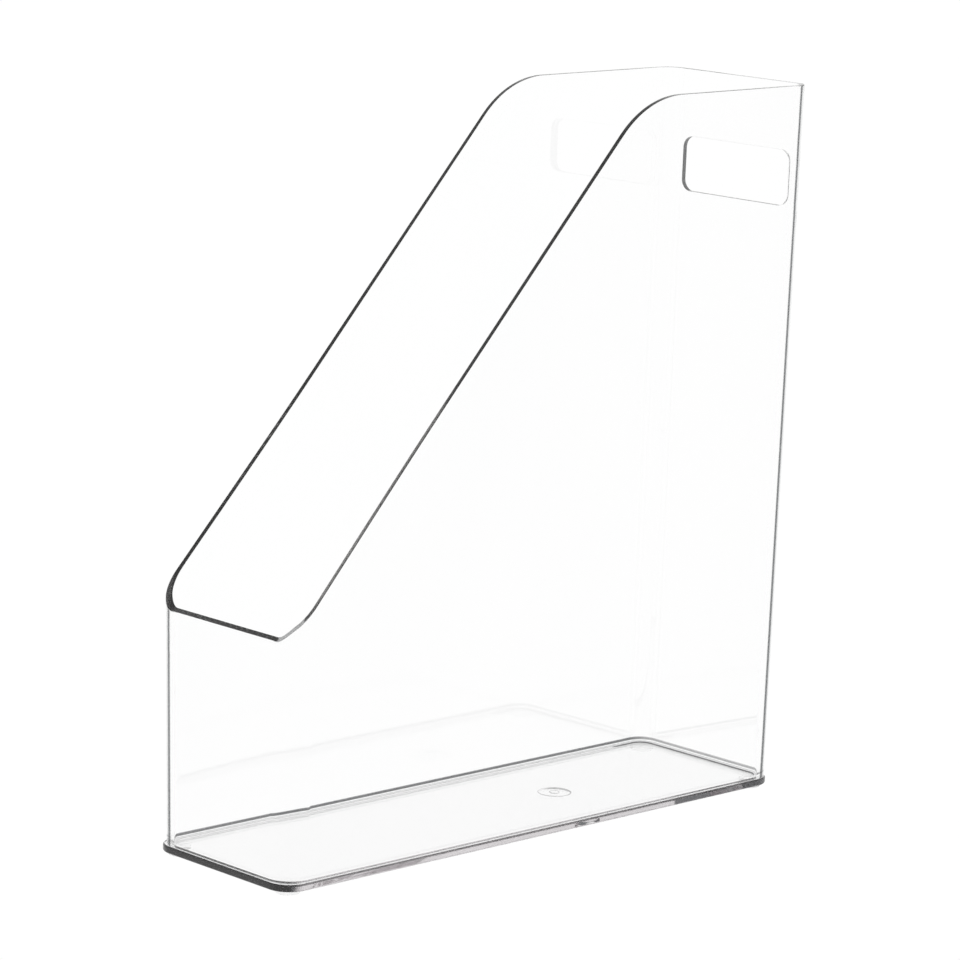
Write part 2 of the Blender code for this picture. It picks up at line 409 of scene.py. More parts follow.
@dataclass(frozen=True)
class MouldedPlastic:
    """Clear moulded plastic: a body tint that deepens along the light's path, flow ripple, fine haze and
    painted shade.

    Attributes:
        name: The material's name.
        tint_low: Colour let through where the moulding's flow is densest.
        tint_high: Colour let through elsewhere.
        body: Colour that is left after one metre over density.
        density: How fast the body takes up light, per metre.
        ior: Refractive index.
        polish: Roughness of the polished skin.
        haze: Roughness added where the skin is handled or scuffed.
        smudge_scale: Smudges to the metre.
        grain_scale: Grains to the metre inside a smudge.
        flow_scale: Flow lines to the metre.
        flow_stretch: How much longer the flow lines are than wide, along each axis.
        ripple_depth: Height of the flow ripple in metres.
        painted_shade_colour: Colour of the shade painted on the skin's corners, rims and edges.
        turned: How deep the painted shade on an upright face gets as it turns away, at a round corner's
            outline.
        seam_shade: How deep the painted shade is on the bond line that runs round the inside, over the rib.
        lip: How deep the painted shade is on the rounding round a plate's top edge.
        front_end_shade: How deep the painted shade is on the face of the front end.
        back_end_shade: How deep the painted shade is on the long sides beside the back end.
        bend: How deep the painted shade is on the rim where it turns round the front corners.
        hole: How deep the painted shade is on the ends of the finger hole.
        level: How deep the painted shade is on the level rim.
    """

    name: str
    tint_low: tuple[float, float, float, float]
    tint_high: tuple[float, float, float, float]
    body: tuple[float, float, float, float]
    density: float
    ior: float = 1.57
    polish: float = 0.0
    haze: float = 0.03
    smudge_scale: float = 22.0
    grain_scale: float = 340.0
    flow_scale: float = 14.0
    flow_stretch: tuple[float, float, float] = (1.0, 1.0, 0.35)
    ripple_depth: float = 0.00004
    painted_shade_colour: tuple[float, float, float, float] = (0.02, 0.022, 0.024, 1.0)
    turned: float = 0.0
    seam_shade: float = 0.0
    lip: float = 0.0
    front_end_shade: float = 0.0
    back_end_shade: float = 0.0
    bend: float = 0.0
    hole: float = 0.0
    level: float = 0.0

    def painted_shade_share(self, bench: Bench) -> Number:
        """How far the skin goes to its painted shade: each place's share of it, summed.

        Args:
            bench: The material's bench.

        Returns:
            The share of the painted shade.
        """
        skin = Skin.on(bench)
        # Each term is painted shade: a mask of where it lies times how deep it is.
        ends = skin.front_end_shade() * self.front_end_shade + skin.back_end_shade() * self.back_end_shade
        rims = skin.bend() * self.bend + skin.hole_end_shade() * self.hole + skin.level_rim_shade() * self.level
        return skin.corners() * self.turned + skin.bond() * self.seam_shade + skin.lip() * self.lip + ends + rims

    def material(self) -> bpy.types.Material:
        """Builds the material.

        The tint follows stretched noise, and goes to the painted shade colour where the shade masks lie. The
        roughness is polish plus haze where a coarse noise is high and a fine one breaks it into smudges. The
        ripple is the same flow noise as a bump of ripple_depth.

        Returns:
            The material.
        """
        made, bench = blank(self.name)
        flow = bench.noise(bench.object_place(self.flow_stretch), self.flow_scale, 1.0)
        place = bench.object_place()
        smudge = bench.noise(place, self.smudge_scale, 3.0).ramp(0.52, 0.78)
        smudge = smudge * bench.noise(place, self.grain_scale, 2.0)
        tint = bench.blend(flow.ramp(0.3, 0.7), self.tint_low, self.tint_high)
        # Painted shade: the tint goes to the shade colour where the masks lie.
        colour = bench.blend(self.painted_shade_share(bench), tint, self.painted_shade_colour)
        ripple = bench.bump(flow, self.ripple_depth, 1.0)
        surface = bench.clear(colour, smudge * self.haze + self.polish, self.ior, ripple)
        volume = bench.add("ShaderNodeVolumeAbsorption", {}, {"Color": self.body, "Density": self.density})
        sockets = {"Surface": surface, "Volume": volume.outputs["Volume"]}
        bench.add("ShaderNodeOutputMaterial", {}, sockets)
        return made


@dataclass(frozen=True)
class SoftPlastic:
    """Soft clear bumper plastic: milky inside, with a satin, faintly dimpled skin.

    Attributes:
        name: The material's name.
        tint_low: Darker tone of its mottling.
        tint_high: Lighter tone of its mottling.
        ior: Refractive index, low because the bumper wets the plate that it sticks to.
        satin: Roughness of the skin.
        satin_spread: Roughness that the mottling adds.
        mottle_scale: Mottles to the metre.
        dimple_scale: Dimples to the metre.
        dimple_depth: Height of the dimples in metres.
        dimple_strength: Share of that height that is felt.
    """

    name: str
    tint_low: tuple[float, float, float, float] = (0.93, 0.935, 0.935, 1.0)
    tint_high: tuple[float, float, float, float] = (0.98, 0.98, 0.98, 1.0)
    ior: float = 1.06
    satin: float = 0.1
    satin_spread: float = 0.1
    mottle_scale: float = 420.0
    dimple_scale: float = 1900.0
    dimple_depth: float = 0.00003
    dimple_strength: float = 0.6

    def material(self) -> bpy.types.Material:
        """Builds the material: mottled tint, roughness that varies with it and a fine dimpled bump.

        Returns:
            The material.
        """
        made, bench = blank(self.name)
        place = bench.object_place()
        mottle = bench.noise(place, self.mottle_scale, 2.0)
        dimples = bench.noise(place, self.dimple_scale, 1.0)
        colour = bench.blend(mottle, self.tint_low, self.tint_high)
        bump = bench.bump(dimples, self.dimple_depth, self.dimple_strength)
        surface = bench.clear(colour, mottle * self.satin_spread + self.satin, self.ior, bump)
        bench.add("ShaderNodeOutputMaterial", {}, {"Surface": surface})
        return made


def arc(centre: tuple[float, float], radius: float, start: float, stop: float, steps: int) -> np.ndarray:
    """Points of an arc: centre + radius * (cos t, sin t), with t from start to stop, both ends included."""
    turn = np.linspace(start, stop, steps + 1)
    return np.stack([centre[0] + radius * np.cos(turn), centre[1] + radius * np.sin(turn)], axis=1)


@dataclass(frozen=True)
class Outline:
    """How a round-cornered rectangle's plan outline is divided.

    Attributes:
        corner_steps: Steps round each corner.
        front: Shares of the straight front, from left to right, that have a point.
        sides: Shares of the straight sides, from the front, that have a point.
        back: Shares of the straight back, from right to left, that have a point.
    """

    corner_steps: int
    front: np.ndarray = field(default_factory=lambda: np.zeros(0))
    sides: np.ndarray = field(default_factory=lambda: np.zeros(0))
    back: np.ndarray = field(default_factory=lambda: np.zeros(0))

    def points(self, half_width: float, front: float, back: float, radii: tuple[float, float]) -> np.ndarray:
        """Anticlockwise outline from the right side's back corner.

        Each corner is an arc of its radius, and each straight run holds its shares' points between two arcs.

        Args:
            half_width: Half the rectangle's size along X.
            front: Its lowest Y.
            back: Its highest Y.
            radii: The radius of its front corners, and of its back corners.

        Returns:
            An array of (x, y).
        """
        near, far = radii
        front_x, back_x = half_width - near, half_width - far
        low, high = front + near, back - far
        steps = self.corner_steps
        side_y = low + self.sides * (high - low)
        runs = [
            arc((back_x, high), far, 0.0, QUARTER, steps),
            np.column_stack([back_x * (1 - 2 * self.back), np.full(len(self.back), back)]),
            arc((-back_x, high), far, QUARTER, 2 * QUARTER, steps),
            np.column_stack([np.full(len(side_y), -half_width), side_y[::-1]]),
            arc((-front_x, low), near, 2 * QUARTER, 3 * QUARTER, steps),
            np.column_stack([front_x * (2 * self.front - 1), np.full(len(self.front), front)]),
            arc((front_x, low), near, 3 * QUARTER, 4 * QUARTER, steps),
            np.column_stack([np.full(len(side_y), half_width), side_y]),
        ]
        return np.concatenate(runs)

    def back_start(self) -> int:
        """Index of the first point on the straight back."""
        return self.corner_steps + 1


def at_height(outline: np.ndarray, height: float) -> np.ndarray:
    """The ring that a plan outline makes at one height."""
    return np.column_stack([outline, np.full(len(outline), height)])


def eased(corner: np.ndarray, first: np.ndarray, second: np.ndarray, reach: float, steps: int) -> np.ndarray:
    """Rounded edge as rings: corner + reach * ((1 - t)^2 * first + t^2 * second), with t from 0 to 1.

    Args:
        corner: Points of the sharp edge.
        first: Unit vectors along the face that the rings start on.
        second: Unit vectors along the face that they end on.
        reach: How far the rounding reaches along each face.
        steps: Rings after the first.

    Returns:
        An array of rings.
    """
    share = np.linspace(0.0, 1.0, steps + 1)[:, None, None]
    return corner + reach * ((1 - share) ** 2 * first + share**2 * second)


def between(first: np.ndarray, last: np.ndarray, shares: np.ndarray) -> np.ndarray:
    """Rings at these shares of the way from the first ring to the last."""
    return first + shares[:, None, None] * (last - first)


def grid_faces(rows: int, columns: int, close_rows: bool) -> np.ndarray:
    """Quads of a grid of points whose columns close on themselves, and its rows if close_rows is set.

    Args:
        rows: Rows of points.
        columns: Points in a row.
        close_rows: Whether the last row joins the first.

    Returns:
        The quads, as an array of point numbers.
    """
    row = np.arange(rows if close_rows else rows - 1)[:, None]
    column = np.arange(columns)[None, :]
    after, above = (column + 1) % columns, (row + 1) % rows
    low, high = row * columns, above * columns
    corners = np.broadcast_arrays(low + column, low + after, high + after, high + column)
    return np.stack(corners, axis=-1).reshape(-1, 4)


def capped(rings: np.ndarray, first: tuple, last: tuple) -> tuple[np.ndarray, list]:
    """A grid of rings, closed by a fan of triangles round a pole at each end.

    Args:
        rings: The rings, in order.
        first: The pole before the first ring.
        last: The pole after the last one.

    Returns:
        The points and the faces.
    """
    rows, columns = rings.shape[:2]
    here = np.arange(columns)
    after = (here + 1) % columns
    pole, top = rows * columns, (rows - 1) * columns
    faces = grid_faces(rows, columns, close_rows=False).tolist()
    faces += np.column_stack([np.full(columns, pole), after, here]).tolist()
    faces += np.column_stack([np.full(columns, pole + 1), top + here, top + after]).tolist()
    return np.concatenate([rings.reshape(-1, 3), [first, last]]), faces


def placed(name: str, data: bpy.types.ID) -> bpy.types.Object:
    """A new object of this data, linked to the scene.

    Args:
        name: The object's name.
        data: Its mesh or camera.

    Returns:
        The object.
    """
    made = bpy.data.objects.new(name, data)
    bpy.context.scene.collection.objects.link(made)
    return made


def piece(name: str, points: np.ndarray, faces: list, finish: bpy.types.Material) -> bpy.types.Object:
    """Makes an object of a closed surface, faces outwards and shaded smooth.

    The normal at a point is the sum of its faces' cross products, so a flat wall stays flat beside the
    small faces of an eased edge.

    Args:
        name: The object's name.
        points: Its points.
        faces: Its faces, as lists of point numbers.
        finish: Its material.

    Returns:
        The object, linked to the scene.
    """
    mesh = bpy.data.meshes.new(name)
    mesh.from_pydata(points.tolist(), [], faces)
    shape = bmesh.new()
    shape.from_mesh(mesh)
    bmesh.ops.recalc_face_normals(shape, faces=shape.faces)
    shape.to_mesh(mesh)
    shape.free()
    mesh.materials.append(finish)
    mesh.shade_smooth()

    mesh.calc_loop_triangles()
    corners = np.zeros(3 * len(mesh.loop_triangles), np.int32)
    mesh.loop_triangles.foreach_get("vertices", corners)
    corners = corners.reshape(-1, 3)
    flat = np.zeros(3 * len(mesh.vertices), np.float32)
    mesh.vertices.foreach_get("co", flat)
    place = flat.reshape(-1, 3).astype(float)
    first, second, third = (place[corners[:, index]] for index in range(3))
    crossed = np.cross(second - first, third - first)
    normals = np.zeros_like(place)
    np.add.at(normals, corners.ravel(), np.repeat(crossed, 3, axis=0))
    normals /= np.maximum(np.linalg.norm(normals, axis=1, keepdims=True), 1e-20)
    mesh.normals_split_custom_set_from_vertices(normals.tolist())
    return placed(name, mesh)


def settle(made: bpy.types.Object, node: str) -> bpy.types.Object:
    """Puts a piece in the place of its CAD node, on the rack's one body, and reports it.

    Args:
        made: The piece.
        node: The CAD node that it stands for.

    Returns:
        The piece.
    """
    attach(made, "root")
    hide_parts(node)
    log.info("%s stands for %s, with %d faces", made.name, node, len(made.data.polygons))
    return made


@dataclass
class BasePlate:
    """The base: a plate with eased edges, a low rib that locates the walls, and the gate recess underneath.

    Attributes:
        corner_radius: Plan radius of the plate's corners.
        edge_radius: Radius of its top and bottom edges.
        ledge: How far the plate stands out past the walls' foot.
        bond_gap: Gap between pieces that are bonded.
        rib_width: Width of the rib.
        rib_height: Height of the rib.
        rib_ease: How far the rib's edges are rounded.
        wall_thickness: Thickness of the walls that the rib stands inside.
        wall_radii: Plan radius of the walls' outer front corners, and of their outer back corners.
        inner_step: How much smaller the walls' inner corners are.
        gate_radius: Radius of the recess.
        gate_depth: Depth of the recess.
        gate_stub_radius: Radius of the stub in it.
        gate_stub_height: Height of the stub.
        gate_from_back: From the plate's back edge to the recess's middle.
        gate_ease: How far the recess's edges are rounded.
        corner_steps: Steps round each corner.
        edge_steps: Steps round each edge.
        gate_steps: Steps round each of the recess's edges.
        span_steps: Points on each straight side.
    """

    corner_radius: float = 0.010
    edge_radius: float = 0.0008
    ledge: float = 0.0008
    bond_gap: float = 0.0003
    rib_width: float = 0.002
    rib_height: float = 0.0005
    rib_ease: float = 0.0002
    wall_thickness: float = 0.0022
    wall_radii: tuple[float, float] = (0.0109, 0.0090)
    inner_step: float = 0.0010
    gate_radius: float = 0.007
    gate_depth: float = 0.0009
    gate_stub_radius: float = 0.002
    gate_stub_height: float = 0.0005
    gate_from_back: float = 0.0932
    gate_ease: float = 0.00025
    corner_steps: int = 20
    edge_steps: int = 6
    gate_steps: int = 4
    span_steps: int = 24

    def __post_init__(self) -> None:
        """Takes the plate's box from the frame."""
        low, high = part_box("base_plate")
        self.front, self.back = low.y, high.y
        self.half_width = high.x
        self.bottom, self.top = low.z, high.z - self.rib_height
        shares = np.linspace(0.0, 1.0, self.span_steps + 2)[1:-1]
        self.outline = Outline(self.corner_steps, front=shares[::3], sides=shares, back=shares[::3])

    def edge(self, inset: float, height: float) -> np.ndarray:
        """The plate's outline stepped in by inset, at a height.

        Args:
            inset: How far it is stepped in.
            height: Its height.

        Returns:
            The ring.
        """
        radii = (self.corner_radius - inset, self.corner_radius - inset)
        plan = self.outline.points(self.half_width - inset, self.front + inset, self.back - inset, radii)
        return at_height(plan, height)

    def rib(self, inset: float, height: float) -> np.ndarray:
        """The outline inside the walls' inner faces, stepped in by inset, at a height.

        Args:
            inset: How far it is stepped in.
            height: Its height.

        Returns:
            The ring.
        """
        depth = self.ledge + self.wall_thickness + inset
        tighter = self.inner_step + inset
        radii = (self.wall_radii[0] - tighter, self.wall_radii[1] - tighter)
        plan = self.outline.points(self.half_width - depth, self.front + depth, self.back - depth, radii)
        return at_height(plan, height)

    def plate_edge(self) -> list[np.ndarray]:
        """Rings round the plate's edge: a quarter circle out and up, and a quarter circle up and in.

        Returns:
            The rings, in order.
        """
        turns = np.linspace(0.0, QUARTER, self.edge_steps + 1)
        radius = self.edge_radius
        far, near = radius * (1 - np.sin(turns)), radius * (1 - np.cos(turns))
        lower = [self.edge(inset, self.bottom + rise) for inset, rise in zip(far, near)]
        upper = [self.edge(inset, self.top - drop) for inset, drop in zip(near, far)]
        return lower + upper

    def rib_rings(self) -> list[np.ndarray]:
        """Rings up the rib's outer side, over its eased top and down its inner side to the floor.

        Returns:
            The rings, in order.
        """
        up = np.array([0.0, 0.0, 1.0])
        outer_foot = self.rib(self.bond_gap, self.top)
        inner_foot = self.rib(self.bond_gap + self.rib_width, self.top)
        inward = inner_foot - outer_foot
        inward /= np.linalg.norm(inward, axis=1, keepdims=True)
        rise = np.array([0.0, 0.0, self.rib_height])
        outer = eased(outer_foot + rise, -up, inward, self.rib_ease, self.edge_steps)
        inner = eased(inner_foot + rise, -inward, -up, self.rib_ease, self.edge_steps)
        fillet = eased(inner_foot, up, inward, self.rib_ease, self.edge_steps)
        return [outer_foot, *outer, *inner, *fillet]

    def gate_rings(self) -> list[np.ndarray]:
        """Rings from the stub's rim out over the recess's roof and down its wall to the underside.

        Each ring's points lie at the same bearings from the gate's middle as the plate's own outline.

        Returns:
            The rings, in order.
        """
        centre = np.array([0.0, self.back - self.gate_from_back])
        bearing = self.edge(0.0, 0.0)[:, :2] - centre
        bearing /= np.linalg.norm(bearing, axis=1, keepdims=True)
        outward = np.column_stack([bearing, np.zeros(len(bearing))])
        up = np.array([0.0, 0.0, 1.0])
        roof = self.bottom + self.gate_depth

        def circle(radius: float, height: float) -> np.ndarray:
            """A ring of this radius round the gate's middle, at a height."""
            return at_height(centre + radius * bearing, height)

        ease, steps = self.gate_ease, self.gate_steps
        stub_rim = circle(self.gate_stub_radius, roof - self.gate_stub_height)
        stub_top = eased(stub_rim, -outward, up, ease, steps)
        stub_foot = eased(circle(self.gate_stub_radius, roof), -up, outward, ease, steps)
        wall_top = eased(circle(self.gate_radius, roof), -outward, -up, ease, steps)
        lip = eased(circle(self.gate_radius, self.bottom), up, outward, ease, steps)
        return [*stub_top, *stub_foot, *wall_top, *lip]

    def build(self, finish: bpy.types.Material) -> bpy.types.Object:
        """Builds the plate as one grid: station round the outline by ring, closed by a pole at each end.

        Args:
            finish: The plate's material.

        Returns:
            The piece.
        """
        rings = np.array(self.gate_rings() + self.plate_edge() + self.rib_rings())
        centre = (0.0, self.back - self.gate_from_back)
        points, faces = capped(rings, (*centre, rings[0, 0, 2]), (*centre, rings[-1, 0, 2]))
        return settle(piece("clear_base_plate", points, faces, finish), "base_plate")


@dataclass
class Sleeve:
    """The walls: front, sides and back in one drafted sleeve, cut to a sloping profile, with a finger hole.

    Attributes:
        plate: The base plate that the sleeve stands on.
        front_height: Height of the front wall.
        thickness: Thickness of the walls.
        side_draft: Outward lean of the side walls.
        front_draft: Outward lean of the front wall.
        back_draft: Outward lean of the back wall.
        flare: How far each side wall's rim stands out further at the front.
        flare_length: From the front wall to where the flare starts.
        slope_angle: Angle of the sloping rim from level.
        shoulder_radius: Radius between the sloping and the level rim.
        toe_rise: How far above the front rim the slope's line meets the front wall.
        toe_reach: From the front wall back to where the rim has climbed that far, round the front corners.
        rim_ease: How far the rim's edges are rounded.
        foot_ease: How far the foot's edges are rounded.
        front_rim_tilt: Share of the slope that the front wall's rim keeps.
        hole_width: Width of the finger hole.
        hole_height: Height of the finger hole.
        hole_radius: Radius of its corners.
        hole_below_rim: From the level rim down to the hole.
        hole_ease: How far the hole's edges are rounded.
        foot_reach: How far the foot comes down into the gap that the bond fills.
        hole_margin: From the hole to the rectangle that its patch fills.
        corner_steps: Steps round each corner.
        edge_steps: Steps round each eased edge.
        front_steps: Steps across the straight front.
        slope_steps: Steps up the slope.
        shoulder_steps: Steps round the shoulder.
        level_steps: Steps along the level rim.
        wall_rows: Rows up the wall below the hole's patch.
        top_rows: Rows from the patch to the rim.
        rim_passes: Passes that bring each point of the rim onto the side profile.
    """

    plate: BasePlate
    front_height: float = 0.1013
    thickness: float = 0.0022
    side_draft: float = math.radians(0.30)
    front_draft: float = math.radians(0.30)
    back_draft: float = math.radians(0.95)
    flare: float = 0.0019
    flare_length: float = 0.078
    slope_angle: float = math.radians(47.5)
    shoulder_radius: float = 0.045
    toe_rise: float = 0.0020
    toe_reach: float = 0.0034
    rim_ease: float = 0.0005
    foot_ease: float = 0.0001
    front_rim_tilt: float = 0.6
    hole_width: float = 0.0613
    hole_height: float = 0.0235
    hole_radius: float = 0.005
    hole_below_rim: float = 0.0287
    hole_ease: float = 0.0004
    foot_reach: float = 0.00024
    hole_margin: float = 0.0019
    corner_steps: int = 24
    edge_steps: int = 7
    front_steps: int = 7
    slope_steps: int = 29
    shoulder_steps: int = 23
    level_steps: int = 5
    wall_rows: int = 20
    top_rows: int = 3
    rim_passes: int = 12

    def __post_init__(self) -> None:
        """Takes the sleeve's height from the frame and its foot from the plate, and divides its outline."""
        low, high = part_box("wall_shell")
        plate = self.plate
        self.bottom, self.top = low.z - self.foot_reach, high.z
        self.rise = self.top - self.bottom
        self.half_width = plate.half_width - plate.ledge
        self.front, self.back = plate.front + plate.ledge, plate.back - plate.ledge
        self.profile_front = self.front - (self.front_height - self.bottom) * math.tan(self.front_draft)
        climb = self.top - self.front_height - self.toe_rise
        brow = self.profile_front + climb / math.tan(self.slope_angle)
        self.shoulder_end = brow + self.shoulder_radius * math.tan(self.slope_angle / 2)
        self.shoulder_start = self.shoulder_end - self.shoulder_radius * math.sin(self.slope_angle)
        self.hole_z = self.top - self.hole_below_rim - self.hole_height / 2
        self.hole = HolePatch(self)
        self.outline = Outline(
            self.corner_steps,
            front=np.linspace(0.0, 1.0, self.front_steps + 1)[1:-1],
            sides=self.side_shares(),
            back=self.back_shares(),
        )

    def side_shares(self) -> np.ndarray:
        """Shares along a side's straight run: even up the slope, even turns round the shoulder, then even.

        Returns:
            The shares.
        """
        front_radius, back_radius = self.plate.wall_radii
        low = self.front + front_radius
        high = self.back + self.rise * math.tan(self.back_draft) - back_radius
        turns = np.linspace(self.slope_angle, 0.0, self.shoulder_steps + 1)
        places = np.concatenate([
            np.linspace(low, self.shoulder_start, self.slope_steps + 1)[1:-1],
            self.shoulder_end - self.shoulder_radius * np.sin(turns),
            np.linspace(self.shoulder_end, high, self.level_steps + 1)[1:-1],
        ])
        return np.sort((places - low) / (high - low))

    def back_shares(self) -> np.ndarray:
        """Shares across the straight back, from right to left, that line up with the hole's patch.

        Returns:
            The shares.
        """
        half = self.half_width - self.plate.wall_radii[1]
        half += (self.hole_z - self.bottom) * math.tan(self.side_draft)
        return (half - self.hole.columns()) / (2 * half)

    def row_shares(self) -> np.ndarray:
        """Shares up the wall: even rows below the hole's patch, then its rows, then even ones to the rim.

        Returns:
            The shares.
        """
        low, high = self.bottom + self.foot_ease, self.top - self.rim_ease
        patch = (self.hole_z + self.hole.rows() - low) / (high - low)
        below = np.linspace(0.0, patch[0], self.wall_rows + 1)[:-1]
        above = np.linspace(patch[-1], 1.0, self.top_rows + 1)[1:-1]
        return np.concatenate([below, patch, above])

    def rim_height(self, y: np.ndarray) -> np.ndarray:
        """Height of the side profile: up the slope from the front, round the shoulder's arc, then level.

        Args:
            y: Places along the rack.

        Returns:
            The height at each.
        """
        line = self.front_height + self.toe_rise + (y - self.profile_front) * math.tan(self.slope_angle)
        along = np.clip(self.shoulder_end - y, 0.0, self.shoulder_radius)
        shoulder = self.top - self.shoulder_radius + np.sqrt(self.shoulder_radius**2 - along**2)
        return np.where(y < self.shoulder_start, line, shoulder)

    def plan(self, inset: float, height: float) -> np.ndarray:
        """Plan outline of the walls at a height: drafted outwards on every side and stepped in by inset.

        Args:
            inset: How far it is stepped in.
            height: Its height.

        Returns:
            An array of (x, y).
        """
        rise = height - self.bottom
        tighter = self.plate.inner_step * inset / self.thickness
        front_radius, back_radius = self.plate.wall_radii
        return self.outline.points(
            self.half_width - inset + rise * math.tan(self.side_draft),
            self.front + inset - rise * math.tan(self.front_draft),
            self.back - inset + rise * math.tan(self.back_draft),
            (front_radius - tighter, back_radius - tighter),
        )

    def toe_drop(self) -> np.ndarray:
        """How far each station's rim lies under the side profile.

        It is toe_rise * (1 - (3 t^2 - 2 t^3)), with t the square root of the way back to toe_reach.

        Returns:
            The drop at each station.
        """
        behind = self.plan(0.0, self.bottom)[:, 1] - self.front
        share = np.sqrt(np.clip(behind / self.toe_reach, 0.0, 1.0))
        return self.toe_rise * (1 - share**2 * (3 - 2 * share))

    def on_wall(self, inset: float, heights: np.ndarray) -> np.ndarray:
        """Points up the wall face, one for each station, on the straight line from foot to head.

        Args:
            inset: How far the face is stepped in.
            heights: The height at each station.

        Returns:
            The ring.
        """
        foot = at_height(self.plan(inset, self.bottom), self.bottom)
        head = at_height(self.plan(inset, self.top), self.top)
        return foot + ((heights - self.bottom) / self.rise)[:, None] * (head - foot)

    def rim(self, inset: float) -> np.ndarray:
        """The face's top edge: each station is raised until it meets the side profile, less its drop.

        Args:
            inset: How far the face is stepped in.

        Returns:
            The ring.
        """
        drop = self.toe_drop()
        heights = self.front_height - drop
        for _ in range(self.rim_passes):
            heights = self.rim_height(self.on_wall(inset, heights)[:, 1]) - drop
        return self.on_wall(inset, heights)

    def inner_rim(self, outer: np.ndarray) -> np.ndarray:
        """The inner face's top edge, tilted less than the profile where it crosses the front wall."""
        heights = self.rim(self.thickness)[:, 2]
        return self.on_wall(self.thickness, outer[:, 2] + self.front_rim_tilt * (heights - outer[:, 2]))

    def flared(self, rings: np.ndarray) -> np.ndarray:
        """The rings with the side walls leaning out by flare * reach^2 * rise, most at the front's rim.

        Args:
            rings: The rings as they are without the flare.

        Returns:
            The moved rings.
        """
        reach = (self.front + self.flare_length - rings[..., 1]) / self.flare_length
        rise = (rings[..., 2] - self.bottom) / (self.front_height - self.bottom)
        side = np.clip(rings[..., 0] / (self.half_width - self.plate.wall_radii[0]), -1.0, 1.0)
        moved = rings.copy()
        moved[..., 0] += side * self.flare * np.clip(reach, 0.0, 1.0) ** 2 * rise
        return moved

    def rings(self) -> tuple[np.ndarray, int, int]:
        """Closed section, ring by ring: up the outer face, over the eased rim, down the inner face, under.

        Returns:
            The rings, and the numbers of the outer and the inner face's first rows.
        """
        up = np.array([0.0, 0.0, 1.0])
        outer = self.rim(0.0)
        inner = self.inner_rim(outer)
        along = np.roll(outer, -1, axis=0) - np.roll(outer, 1, axis=0)
        outward = np.column_stack([along[:, 1], -along[:, 0], np.zeros(len(along))])
        down = np.cross(along, outward)
        down *= -np.sign(down[:, 2:3]) / np.linalg.norm(down, axis=1, keepdims=True)
        across = (inner - outer) / np.linalg.norm(inner - outer, axis=1, keepdims=True)
        rim_outer = eased(outer, down, across, self.rim_ease, self.edge_steps)
        rim_inner = eased(inner, -across, down, self.rim_ease, self.edge_steps)

        foot_outer = at_height(self.plan(0.0, self.bottom), self.bottom)
        foot_inner = at_height(self.plan(self.thickness, self.bottom), self.bottom)
        inward = (foot_inner - foot_outer) / np.linalg.norm(foot_inner - foot_outer, axis=1, keepdims=True)
        under_outer = eased(foot_outer, inward, up, self.foot_ease, self.edge_steps)
        under_inner = eased(foot_inner, up, -inward, self.foot_ease, self.edge_steps)

        shares = self.row_shares()
        outer_face = between(under_outer[-1], rim_outer[0], shares)
        inner_face = between(under_inner[0], rim_inner[-1], shares)
        parts = [under_outer[:-1], outer_face, rim_outer, rim_inner[:-1], rim_inner[-1:], inner_face[::-1]]
        parts.append(under_inner[1:])
        starts = np.cumsum([0] + [len(part) for part in parts])
        return self.flared(np.concatenate(parts)), int(starts[1]), int(starts[5])

    def build(self, finish: bpy.types.Material) -> bpy.types.Object:
        """Builds the sleeve as one grid, station by ring, with the hole's patch in place of its window.

        Args:
            finish: The sleeve's material.

        Returns:
            The piece.
        """
        rings, outer_start, inner_start = self.rings()
        rows, columns = rings.shape[:2]
        points = rings.reshape(-1, 3)
        faces = grid_faces(rows, columns, close_rows=True)

        first_row, last_row = self.wall_rows, self.wall_rows + len(self.hole.rows()) - 1
        face_rows = len(self.row_shares())
        outer_rows = (outer_start + first_row, outer_start + last_row)
        inner_rows = (inner_start + face_rows - 1 - first_row, inner_start + face_rows - 1 - last_row)
        first_column = self.outline.back_start()
        last_column = first_column + len(self.hole.columns()) - 1

        row, column = np.divmod(faces[:, 0], columns)
        beside = (column >= first_column) & (column < last_column)
        in_outer = (row >= outer_rows[0]) & (row < outer_rows[1])
        in_inner = (row >= inner_rows[1]) & (row < inner_rows[0])
        kept = faces[~(beside & (in_outer | in_inner))]

        outer_loop = self.hole.loop(outer_rows, (first_column, last_column), columns)
        inner_loop = self.hole.loop(inner_rows, (first_column, last_column), columns)
        patch, patch_faces = self.hole.surface(points[outer_loop], points[inner_loop])
        number = np.concatenate([outer_loop, len(points) + np.arange(len(patch)), inner_loop])
        faces = np.concatenate([kept, number[patch_faces]])
        points = np.concatenate([points, patch])
        used, renumbered = np.unique(faces, return_inverse=True)
        faces = renumbered.reshape(-1, 4).tolist()
        return settle(piece("clear_wall_sleeve", points[used], faces, finish), "wall_shell")


